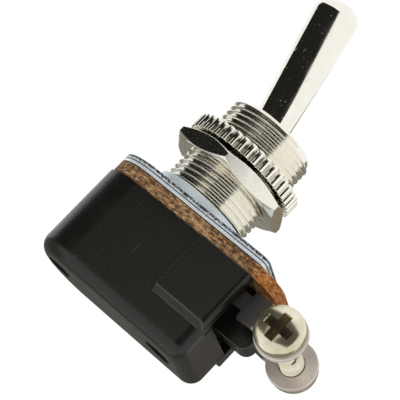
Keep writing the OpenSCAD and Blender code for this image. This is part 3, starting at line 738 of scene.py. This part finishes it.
def screw_blank(head_r, head_h, shank_l, size):
    """A pan head screw pointing down from its seat at z = 0, with a tapered cross recess."""
    shank_r = size.screw_radius
    core = shank_r - THREAD_DEPTH * size.screw_pitch
    edge = 0.06 * MM  # broken edge of the head at its seat
    side = head_h * 0.42  # height of the head's upright side
    dome = [
        (head_r * math.cos(t) ** 0.75, side + (head_h - side) * math.sin(t) ** 0.9)
        for t in fractions(0, math.pi / 2, 16)[:-1]
    ]
    tip = 0.2 * MM  # length of the taper at the end of the shank
    neck = -0.35 * MM  # the thread runs out here
    bm = lathe([
        (0, -shank_l), (core - 0.15 * MM, -shank_l), (core, tip - shank_l), (core, neck),
        (shank_r, -0.05 * MM), (shank_r, 0.0), (head_r - edge, 0.0), (head_r, edge), *dome, (0, head_h),
    ], steps=96)
    floor = head_h - size.recess_depth
    rim = head_h - size.recess_rim
    cutter = cross_cutter(
        size.recess_length, size.recess_width, floor, rim, head_h + 0.4 * MM,
        size.recess_draft, size.recess_flare,
    )
    bm = cut_away(bm, cutter, "recess")
    # Faces in the cross recess and in the thread roots get the painted shade material.
    for face in bm.faces:
        middle = face.calc_center_median()
        reach = math.hypot(middle.x, middle.y)
        in_recess = floor - 0.05 * MM < middle.z < rim and reach < size.recess_length / 2 + 0.3 * MM
        in_groove = tip / 4 - shank_l < middle.z < neck and reach < core + 0.02 * MM
        face.material_index = 1 if in_recess or in_groove else 0
    add_thread(bm, shank_r, size.screw_pitch, tip - shank_l, neck, lambda z: shank_r, turn_steps=48)
    return bm


class TOGGLE_OT_terminals(bpy.types.Operator):
    """Round the edges of the tinned terminals and give them their finish"""
    bl_idname = "toggle.terminals"
    bl_label = "Terminals"

    def execute(self, context):
        look = context.scene.toggle_look
        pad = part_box("terminal_screw_front")[0].x
        # Painted shade darkens the terminals from the near edge of the screw heads towards the moulding.
        metal = plain_metal(
            "brass_tinned", look.tin, look.tin_shade, metallic=0.35, roughness=0.32, grain_mm=1.4,
            dull=look.tin_painted_shade, painted_shade_to=pad + 0.2 * MM,
        )
        for node in ("terminal_front", "terminal_rear"):
            bm = merged_copy(node)
            round_edges(bm, context.scene.toggle_sizes.terminal_edge, 3)
            piece(node + "_strip", bm, metal, "body", node)
        return {"FINISHED"}


class TOGGLE_OT_spring(bpy.types.Operator):
    """Finish the plunger's spring, which rides on the lever."""
    bl_idname = "toggle.spring"
    bl_label = "Plunger spring"

    def execute(self, context):
        look = context.scene.toggle_look
        wire = plain_metal(
            "spring_wire", look.wire, look.wire_shade, metallic=1.0, roughness=0.26, grain_mm=0.3,
        )
        bm = merged_copy("plunger_spring")
        coil = piece("spring_coil", bm, wire, "lever", "plunger_spring")
        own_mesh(coil)
        return {"FINISHED"}


class TOGGLE_OT_inside(bpy.types.Operator):
    """Give the small inner pieces their finish"""
    bl_idname = "toggle.inside"
    bl_label = "Inner pieces"

    def execute(self, context):
        look = context.scene.toggle_look
        brass = plain_metal(
            "brass_pressed", look.brass, look.brass_shade, metallic=1.0, roughness=0.32, grain_mm=0.6,
        )
        silver = plain_metal(
            "silver_faced", look.silver, look.silver_shade, metallic=1.0, roughness=0.25, grain_mm=0.4,
        )
        steel = plain_metal(
            "steel_pins", look.steel, look.steel_shade, metallic=1.0, roughness=0.34, grain_mm=0.5,
        )
        finish = {
            "plunger": brass, "rocker": brass, "rocker_support": brass, "moving_contact": silver,
            "fixed_contact": silver, "pivot_pin": steel, "rocker_pin": steel, "case_rivet_left": steel,
            "case_rivet_right": steel,
        }
        for node, metal in finish.items():
            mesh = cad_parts[node].data
            mesh.materials.clear()
            mesh.materials.append(metal)
        return {"FINISHED"}


# --- stage -----------------------------------------------------------------------------------

LENS_MM = 143.3
AZIMUTH, ELEVATION, ROLL = 23.5, -10.89, 43.9
DISTANCE = 188.1 * MM
FRAME_CENTRE = (0.494 * MM, 1.887 * MM)  # middle of the view, right of and above the origin
FLOOR_RADIUS = 3.0
FLOOR_GAP = 0.02 * MM
CARDS = (
    # name, first and last angle in degrees, foot, top and radius in mm
    ("card_dark", -119, 27, -90, 150, 250),
    ("card_gap", -48, -24, -90, 55, 246),
    ("card_grey", 125, 172, -20, 120, 250),
    ("card_low", 95, 265, -400, -22, 250),
)


def rolled(back):
    """Rotation of a camera that looks against back, with the studio's roll."""
    return back.to_track_quat("Z", "Y").to_matrix() @ Matrix.Rotation(math.radians(ROLL), 3, "Z")


def aim_camera():
    """Camera beside and below the switch, rolled so that the lever points up to the right."""
    az, el = math.radians(AZIMUTH), math.radians(ELEVATION)
    back = Vector((math.sin(az) * math.cos(el), -math.cos(az) * math.cos(el), math.sin(el)))
    target = rolled(back) @ Vector((*FRAME_CENTRE, 0))
    eye = back * DISTANCE
    turn = rolled((eye - target).normalized())
    data = bpy.data.cameras.new("camera")
    data.lens = LENS_MM
    data.sensor_width = 36.0
    data.clip_start = 0.005
    data.clip_end = 20.0
    camera = bpy.data.objects.new("camera", data)
    camera.matrix_world = Matrix.Translation(eye) @ turn.to_4x4()
    bpy.context.scene.collection.objects.link(camera)
    bpy.context.scene.camera = camera


def floor_material(colour):
    """Pale floor that is clear from below, so that a low camera looks through it."""
    material, tree = new_tree("floor_pale")
    pale = add(tree, "ShaderNodeBsdfDiffuse", {"Color": colour})
    clear = add(tree, "ShaderNodeBsdfTransparent")
    below = add(tree, "ShaderNodeNewGeometry", output="Backfacing")
    both = add(tree, "ShaderNodeMixShader", {"Fac": below, 1: pale, 2: clear})
    add(tree, "ShaderNodeOutputMaterial", {"Surface": both})
    return material


def stage_piece(name, bm, material):
    """Turn a bmesh into a piece of the stage, which casts no shadow and lights nothing."""
    mesh = bpy.data.meshes.new(name)
    bm.to_mesh(mesh)
    bm.free()
    mesh.materials.append(material)
    obj = bpy.data.objects.new(name, mesh)
    bpy.context.scene.collection.objects.link(obj)
    obj.visible_diffuse = False
    obj.visible_shadow = False
    return obj


def card(name, start_deg, end_deg, foot_mm, top_mm, radius_mm, colour):
    """A curved card round the lever, seen only in reflections; angles run from the camera towards +X."""
    material, tree = new_tree(name)
    glow = add(tree, "ShaderNodeEmission", {"Color": colour, "Strength": 1.0})
    add(tree, "ShaderNodeOutputMaterial", {"Surface": glow})
    bm = bmesh.new()
    start = math.radians(AZIMUTH - 90 + start_deg)
    edge = Vector((math.cos(start), math.sin(start), 0)) * radius_mm
    verts = [bm.verts.new((edge + Vector((0, 0, z))) * MM) for z in (foot_mm, top_mm)]
    upright = bm.edges.new(verts)
    bmesh.ops.spin(
        bm, geom=verts + [upright], cent=(0, 0, 0), axis=(0, 0, 1),
        angle=math.radians(end_deg - start_deg), steps=32,
    )
    stage_piece(name, bm, material).visible_camera = False


class TOGGLE_OT_stage(bpy.types.Operator):
    """Set up the camera, the soft light, the floor and the cards that metal reflects"""
    bl_idname = "toggle.stage"
    bl_label = "Stage"

    def execute(self, context):
        look = context.scene.toggle_look
        context.scene.view_settings.view_transform = "Standard"
        world = bpy.data.worlds.new("studio")
        world.use_nodes = True
        world.node_tree.nodes["Background"].inputs["Color"].default_value = (1, 1, 1, 1)
        world.node_tree.nodes["Background"].inputs["Strength"].default_value = 1.0
        context.scene.world = world
        bm = bmesh.new()
        bmesh.ops.create_circle(bm, cap_ends=True, radius=FLOOR_RADIUS, segments=64)
        bmesh.ops.translate(bm, vec=(0, 0, CAD_BOX[0].z - FLOOR_GAP), verts=bm.verts)
        stage_piece("floor", bm, floor_material(look.floor)).visible_glossy = False
        for name, *place in CARDS:
            card(name, *place, getattr(look, name))
        aim_camera()
        return {"FINISHED"}


class TOGGLE_PT_panel(bpy.types.Panel):
    """Sizes, colours and steps of the toggle switch"""
    bl_idname = "TOGGLE_PT_panel"
    bl_label = "Toggle switch"
    bl_space_type = "VIEW_3D"
    bl_region_type = "UI"
    bl_category = "Toggle switch"

    def draw(self, context):
        for group in (context.scene.toggle_look, context.scene.toggle_sizes):
            box = self.layout.box()
            for name in group.__annotations__:
                box.prop(group, name)
        for step in STEPS:
            self.layout.operator(step.bl_idname)


STEPS = (
    TOGGLE_OT_housing, TOGGLE_OT_plates, TOGGLE_OT_bushing, TOGGLE_OT_nuts, TOGGLE_OT_lever,
    TOGGLE_OT_screws, TOGGLE_OT_terminals, TOGGLE_OT_spring, TOGGLE_OT_inside,
    TOGGLE_OT_stage,
)
CLASSES = (ToggleLook, ToggleSizes) + STEPS + (TOGGLE_PT_panel,)


def register():
    for cls in CLASSES:
        bpy.utils.register_class(cls)
    bpy.types.Scene.toggle_look = PointerProperty(type=ToggleLook)
    bpy.types.Scene.toggle_sizes = PointerProperty(type=ToggleSizes)


def unregister():
    del bpy.types.Scene.toggle_sizes
    del bpy.types.Scene.toggle_look
    for cls in reversed(CLASSES):
        bpy.utils.unregister_class(cls)


def main():
    register()
    bpy.ops.toggle.housing()
    bpy.ops.toggle.plates()
    bpy.ops.toggle.bushing()
    bpy.ops.toggle.nuts()
    bpy.ops.toggle.lever()
    bpy.ops.toggle.screws()
    bpy.ops.toggle.terminals()
    bpy.ops.toggle.spring()
    bpy.ops.toggle.inside()
    bpy.ops.toggle.stage()


if __name__ == "__main__":
    main()
